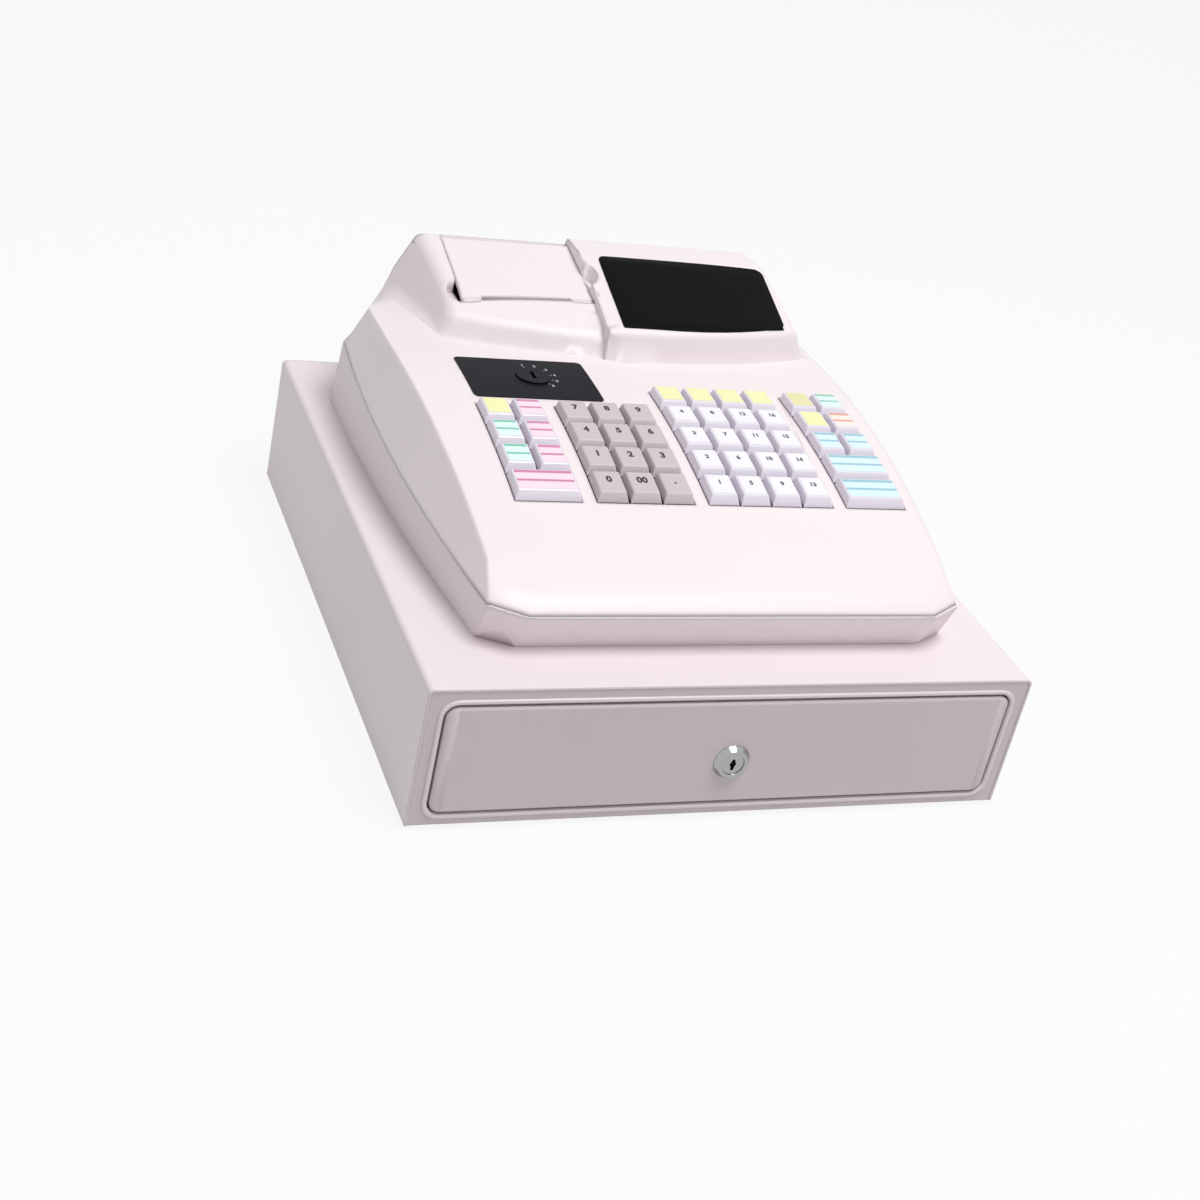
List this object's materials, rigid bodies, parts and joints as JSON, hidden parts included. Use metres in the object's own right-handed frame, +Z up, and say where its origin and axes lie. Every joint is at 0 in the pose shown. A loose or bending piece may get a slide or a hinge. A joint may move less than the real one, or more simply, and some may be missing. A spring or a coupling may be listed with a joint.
{
  "type": "cash register",
  "caption": "Electronic cash register: a low keyboard and printer body with a raised rear head, standing on a steel cabinet with a locking cash drawer.",
  "frame": {"origin": "middle of the footprint, on the table under the rubber feet", "axes": "+Z up, -Y towards the drawer's front, +X to the right of someone facing the drawer"},
  "size_m": [0.33, 0.36, 0.1813],
  "materials": {
    "case_plastic": "fine spark texture",
    "lower_case_plastic": "fine spark texture",
    "cabinet_paint": "fine powder coat",
    "frame_plastic": "fine texture",
    "drawer_paint": "satin",
    "zinc_steel": "zinc plated",
    "chrome": "polished",
    "steel": "brushed",
    "foot_rubber": "matte",
    "roller_rubber": "ground",
    "black_plastic": "satin",
    "tray_plastic": "satin",
    "window_tint": "polished",
    "key_clear": "smooth",
    "key_grey": "fine texture",
    "paper": "smooth thermal paper"
  },
  "bodies": {
    "register": {"cabinet_shell": "cabinet_paint", "cabinet_base": "zinc_steel", "front_frame": "frame_plastic", "rubber_feet": "foot_rubber", "drawer_rails": "zinc_steel", "latch_solenoid": "steel", "lower_case": "lower_case_plastic", "power_inlet": "black_plastic", "upper_case": "case_plastic", "display_lens": "window_tint", "customer_lens": "window_tint", "mode_plate": "black_plastic", "print_mechanism": "black_plastic", "keyboard_base": "black_plastic"},
    "drawer": {"drawer_tray": "drawer_paint", "drawer_front": "frame_plastic", "cash_tray": "tray_plastic", "lock_bezel": "chrome"},
    "printer_cover": {"printer_cover": "case_plastic"},
    "lock_cylinder": {"lock_cylinder": "chrome"},
    "mode_knob": {"mode_knob": "black_plastic"},
    "bill_clips": {"bill_clips": "steel"},
    "latch_hook": {"latch_hook": "steel"},
    "platen_roller": {"platen_roller": "roller_rubber"},
    "paper_roll": {"paper_roll": "paper"},
    "key_number_0": {"key_number_0": "key_grey"},
    "key_number_00": {"key_number_00": "key_grey"},
    "key_number_point": {"key_number_point": "key_grey"},
    "key_number_1": {"key_number_1": "key_grey"},
    "key_number_2": {"key_number_2": "key_grey"},
    "key_number_3": {"key_number_3": "key_grey"},
    "key_number_4": {"key_number_4": "key_grey"},
    "key_number_5": {"key_number_5": "key_grey"},
    "key_number_6": {"key_number_6": "key_grey"},
    "key_number_7": {"key_number_7": "key_grey"},
    "key_number_8": {"key_number_8": "key_grey"},
    "key_number_9": {"key_number_9": "key_grey"},
    "key_left_wide": {"key_left_wide": "key_clear"},
    "key_left_row1_1": {"key_left_row1_1": "key_clear"},
    "key_left_row1_2": {"key_left_row1_2": "key_clear"},
    "key_left_row2_1": {"key_left_row2_1": "key_clear"},
    "key_left_row2_2": {"key_left_row2_2": "key_clear"},
    "key_left_row3_1": {"key_left_row3_1": "key_clear"},
    "key_left_row3_2": {"key_left_row3_2": "key_clear"},
    "key_right_wide_1": {"key_right_wide_1": "key_clear"},
    "key_right_wide_2": {"key_right_wide_2": "key_clear"},
    "key_right_row2_1": {"key_right_row2_1": "key_clear"},
    "key_right_row2_2": {"key_right_row2_2": "key_clear"},
    "key_right_row3_1": {"key_right_row3_1": "key_clear"},
    "key_right_row3_2": {"key_right_row3_2": "key_clear"},
    "key_right_row4_1": {"key_right_row4_1": "key_clear"},
    "key_right_row4_2": {"key_right_row4_2": "key_clear"},
    "key_top_1": {"key_top_1": "key_clear"},
    "key_department_column_1": {"key_department_column_1": "key_clear"},
    "key_top_2": {"key_top_2": "key_clear"},
    "key_department_column_2": {"key_department_column_2": "key_clear"},
    "key_top_3": {"key_top_3": "key_clear"},
    "key_department_column_3": {"key_department_column_3": "key_clear"},
    "key_top_4": {"key_top_4": "key_clear"},
    "key_department_column_4": {"key_department_column_4": "key_clear"}
  },
  "joints": [
    {"name": "drawer_slide", "type": "slide", "parent": "register", "child": "drawer", "axis": [0, -1, 0], "range_m": [0, 0.25]},
    {"name": "printer_cover_hinge", "type": "hinge", "parent": "register", "child": "printer_cover", "pos_m": [-0.049, 0.1535, 0.17424], "axis": [-1, 0, 0], "range_deg": [0, 85]},
    {"name": "drawer_lock_turn", "type": "hinge", "parent": "drawer", "child": "lock_cylinder", "pos_m": [0, -0.176, 0.0355], "axis": [0, 1, 0], "range_deg": [0, 90]},
    {"name": "mode_knob_turn", "type": "hinge", "parent": "register", "child": "mode_knob", "pos_m": [-0.0615, 0.036, 0.143], "axis": [0, 0, -1], "range_deg": [-60, 90]},
    {"name": "bill_clips_lift", "type": "hinge", "parent": "drawer", "child": "bill_clips", "pos_m": [0, 0.13, 0.053], "axis": [-1, 0, 0], "range_deg": [0, 40], "stiffness_Nm_per_rad": 0.05, "springref_deg": -45.84},
    {"name": "latch_hook_drop", "type": "hinge", "parent": "register", "child": "latch_hook", "pos_m": [0.04, 0.166, 0.063], "axis": [1, 0, 0], "range_deg": [0, 8]},
    {"name": "platen_spin", "type": "hinge", "parent": "register", "child": "platen_roller", "pos_m": [-0.0495, 0.099, 0.153], "axis": [1, 0, 0], "continuous": true},
    {"name": "paper_roll_spin", "type": "hinge", "parent": "register", "child": "paper_roll", "pos_m": [-0.0495, 0.131, 0.14], "axis": [1, 0, 0], "continuous": true},
    {"name": "key_department_column_1_press", "type": "slide", "parent": "register", "child": "key_department_column_1", "axis": [0, 0.1593, -0.9872], "range_m": [0, 0.003], "stiffness_N_per_m": 400, "springref_m": -0.004},
    {"name": "key_department_column_2_press", "type": "slide", "parent": "register", "child": "key_department_column_2", "axis": [0, 0.1593, -0.9872], "range_m": [0, 0.003], "stiffness_N_per_m": 400, "springref_m": -0.004},
    {"name": "key_department_column_3_press", "type": "slide", "parent": "register", "child": "key_department_column_3", "axis": [0, 0.1593, -0.9872], "range_m": [0, 0.003], "stiffness_N_per_m": 400, "springref_m": -0.004},
    {"name": "key_department_column_4_press", "type": "slide", "parent": "register", "child": "key_department_column_4", "axis": [0, 0.1593, -0.9872], "range_m": [0, 0.003], "stiffness_N_per_m": 400, "springref_m": -0.004},
    {"name": "key_top_1_press", "type": "slide", "parent": "register", "child": "key_top_1", "axis": [0, 0.0634, -0.998], "range_m": [0, 0.003], "stiffness_N_per_m": 100, "springref_m": -0.004},
    {"name": "key_top_2_press", "type": "slide", "parent": "register", "child": "key_top_2", "axis": [0, 0.0634, -0.998], "range_m": [0, 0.003], "stiffness_N_per_m": 100, "springref_m": -0.004},
    {"name": "key_top_3_press", "type": "slide", "parent": "register", "child": "key_top_3", "axis": [0, 0.0634, -0.998], "range_m": [0, 0.003], "stiffness_N_per_m": 100, "springref_m": -0.004},
    {"name": "key_top_4_press", "type": "slide", "parent": "register", "child": "key_top_4", "axis": [0, 0.0634, -0.998], "range_m": [0, 0.003], "stiffness_N_per_m": 100, "springref_m": -0.004},
    {"name": "key_left_wide_press", "type": "slide", "parent": "register", "child": "key_left_wide", "axis": [0, 0.2162, -0.9764], "range_m": [0, 0.003], "stiffness_N_per_m": 100, "springref_m": -0.004},
    {"name": "key_right_wide_1_press", "type": "slide", "parent": "register", "child": "key_right_wide_1", "axis": [0, 0.2162, -0.9764], "range_m": [0, 0.003], "stiffness_N_per_m": 100, "springref_m": -0.004},
    {"name": "key_right_wide_2_press", "type": "slide", "parent": "register", "child": "key_right_wide_2", "axis": [0, 0.1783, -0.984], "range_m": [0, 0.003], "stiffness_N_per_m": 100, "springref_m": -0.004},
    {"name": "key_number_0_press", "type": "slide", "parent": "register", "child": "key_number_0", "axis": [0, 0.2162, -0.9764], "range_m": [0, 0.003], "stiffness_N_per_m": 100, "springref_m": -0.004},
    {"name": "key_number_00_press", "type": "slide", "parent": "register", "child": "key_number_00", "axis": [0, 0.2162, -0.9764], "range_m": [0, 0.003], "stiffness_N_per_m": 100, "springref_m": -0.004},
    {"name": "key_number_1_press", "type": "slide", "parent": "register", "child": "key_number_1", "axis": [0, 0.1783, -0.984], "range_m": [0, 0.003], "stiffness_N_per_m": 100, "springref_m": -0.004},
    {"name": "key_number_2_press", "type": "slide", "parent": "register", "child": "key_number_2", "axis": [0, 0.1783, -0.984], "range_m": [0, 0.003], "stiffness_N_per_m": 100, "springref_m": -0.004},
    {"name": "key_number_3_press", "type": "slide", "parent": "register", "child": "key_number_3", "axis": [0, 0.1783, -0.984], "range_m": [0, 0.003], "stiffness_N_per_m": 100, "springref_m": -0.004},
    {"name": "key_number_4_press", "type": "slide", "parent": "register", "child": "key_number_4", "axis": [0, 0.1402, -0.9901], "range_m": [0, 0.003], "stiffness_N_per_m": 100, "springref_m": -0.004},
    {"name": "key_number_5_press", "type": "slide", "parent": "register", "child": "key_number_5", "axis": [0, 0.1402, -0.9901], "range_m": [0, 0.003], "stiffness_N_per_m": 100, "springref_m": -0.004},
    {"name": "key_number_6_press", "type": "slide", "parent": "register", "child": "key_number_6", "axis": [0, 0.1402, -0.9901], "range_m": [0, 0.003], "stiffness_N_per_m": 100, "springref_m": -0.004},
    {"name": "key_number_7_press", "type": "slide", "parent": "register", "child": "key_number_7", "axis": [0, 0.1019, -0.9948], "range_m": [0, 0.003], "stiffness_N_per_m": 100, "springref_m": -0.004},
    {"name": "key_number_8_press", "type": "slide", "parent": "register", "child": "key_number_8", "axis": [0, 0.1019, -0.9948], "range_m": [0, 0.003], "stiffness_N_per_m": 100, "springref_m": -0.004},
    {"name": "key_number_9_press", "type": "slide", "parent": "register", "child": "key_number_9", "axis": [0, 0.1019, -0.9948], "range_m": [0, 0.003], "stiffness_N_per_m": 100, "springref_m": -0.004},
    {"name": "key_number_point_press", "type": "slide", "parent": "register", "child": "key_number_point", "axis": [0, 0.2162, -0.9764], "range_m": [0, 0.003], "stiffness_N_per_m": 100, "springref_m": -0.004},
    {"name": "key_left_row1_1_press", "type": "slide", "parent": "register", "child": "key_left_row1_1", "axis": [0, 0.1783, -0.984], "range_m": [0, 0.003], "stiffness_N_per_m": 100, "springref_m": -0.004},
    {"name": "key_left_row1_2_press", "type": "slide", "parent": "register", "child": "key_left_row1_2", "axis": [0, 0.1783, -0.984], "range_m": [0, 0.003], "stiffness_N_per_m": 100, "springref_m": -0.004},
    {"name": "key_left_row2_1_press", "type": "slide", "parent": "register", "child": "key_left_row2_1", "axis": [0, 0.1402, -0.9901], "range_m": [0, 0.003], "stiffness_N_per_m": 100, "springref_m": -0.004},
    {"name": "key_left_row2_2_press", "type": "slide", "parent": "register", "child": "key_left_row2_2", "axis": [0, 0.1402, -0.9901], "range_m": [0, 0.003], "stiffness_N_per_m": 100, "springref_m": -0.004},
    {"name": "key_left_row3_1_press", "type": "slide", "parent": "register", "child": "key_left_row3_1", "axis": [0, 0.1019, -0.9948], "range_m": [0, 0.003], "stiffness_N_per_m": 100, "springref_m": -0.004},
    {"name": "key_left_row3_2_press", "type": "slide", "parent": "register", "child": "key_left_row3_2", "axis": [0, 0.1019, -0.9948], "range_m": [0, 0.003], "stiffness_N_per_m": 100, "springref_m": -0.004},
    {"name": "key_right_row2_1_press", "type": "slide", "parent": "register", "child": "key_right_row2_1", "axis": [0, 0.1402, -0.9901], "range_m": [0, 0.003], "stiffness_N_per_m": 100, "springref_m": -0.004},
    {"name": "key_right_row2_2_press", "type": "slide", "parent": "register", "child": "key_right_row2_2", "axis": [0, 0.1402, -0.9901], "range_m": [0, 0.003], "stiffness_N_per_m": 100, "springref_m": -0.004},
    {"name": "key_right_row3_1_press", "type": "slide", "parent": "register", "child": "key_right_row3_1", "axis": [0, 0.1019, -0.9948], "range_m": [0, 0.003], "stiffness_N_per_m": 100, "springref_m": -0.004},
    {"name": "key_right_row3_2_press", "type": "slide", "parent": "register", "child": "key_right_row3_2", "axis": [0, 0.1019, -0.9948], "range_m": [0, 0.003], "stiffness_N_per_m": 100, "springref_m": -0.004},
    {"name": "key_right_row4_1_press", "type": "slide", "parent": "register", "child": "key_right_row4_1", "axis": [0, 0.0634, -0.998], "range_m": [0, 0.003], "stiffness_N_per_m": 100, "springref_m": -0.004},
    {"name": "key_right_row4_2_press", "type": "slide", "parent": "register", "child": "key_right_row4_2", "axis": [0, 0.0634, -0.998], "range_m": [0, 0.003], "stiffness_N_per_m": 100, "springref_m": -0.004}
  ]
}
